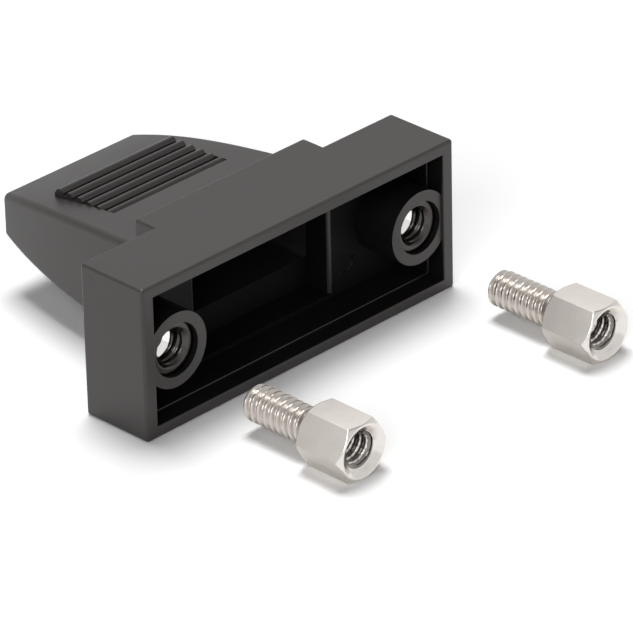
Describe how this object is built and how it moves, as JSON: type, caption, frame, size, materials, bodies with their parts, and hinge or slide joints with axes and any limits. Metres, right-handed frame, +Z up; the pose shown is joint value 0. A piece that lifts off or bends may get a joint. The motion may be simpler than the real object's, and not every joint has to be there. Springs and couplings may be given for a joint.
{
  "type": "d-sub hood",
  "caption": "Moulded cover for the back of a small rectangular connector, with a stepped front tray, threaded inserts, ribbed grip faces, a flat cable end and loose hexagonal jack screws.",
  "frame": {"origin": "centre of the rim plane at the open front of the hood", "axes": "+X along the long side of the flange, +Y back towards the cable end, +Z up from the side the hood lies on"},
  "size_m": [0.0335, 0.0405, 0.0122],
  "materials": {
    "shell": "satin black moulded plastic",
    "insert": "bright nickel plate",
    "jack_screw": "satin nickel plate"
  },
  "bodies": {
    "root": {"hood_shell": "shell", "threaded_insert_left": "insert", "threaded_insert_right": "insert", "jack_screw_left": "jack_screw", "jack_screw_right": "jack_screw"}
  },
  "joints": []
}
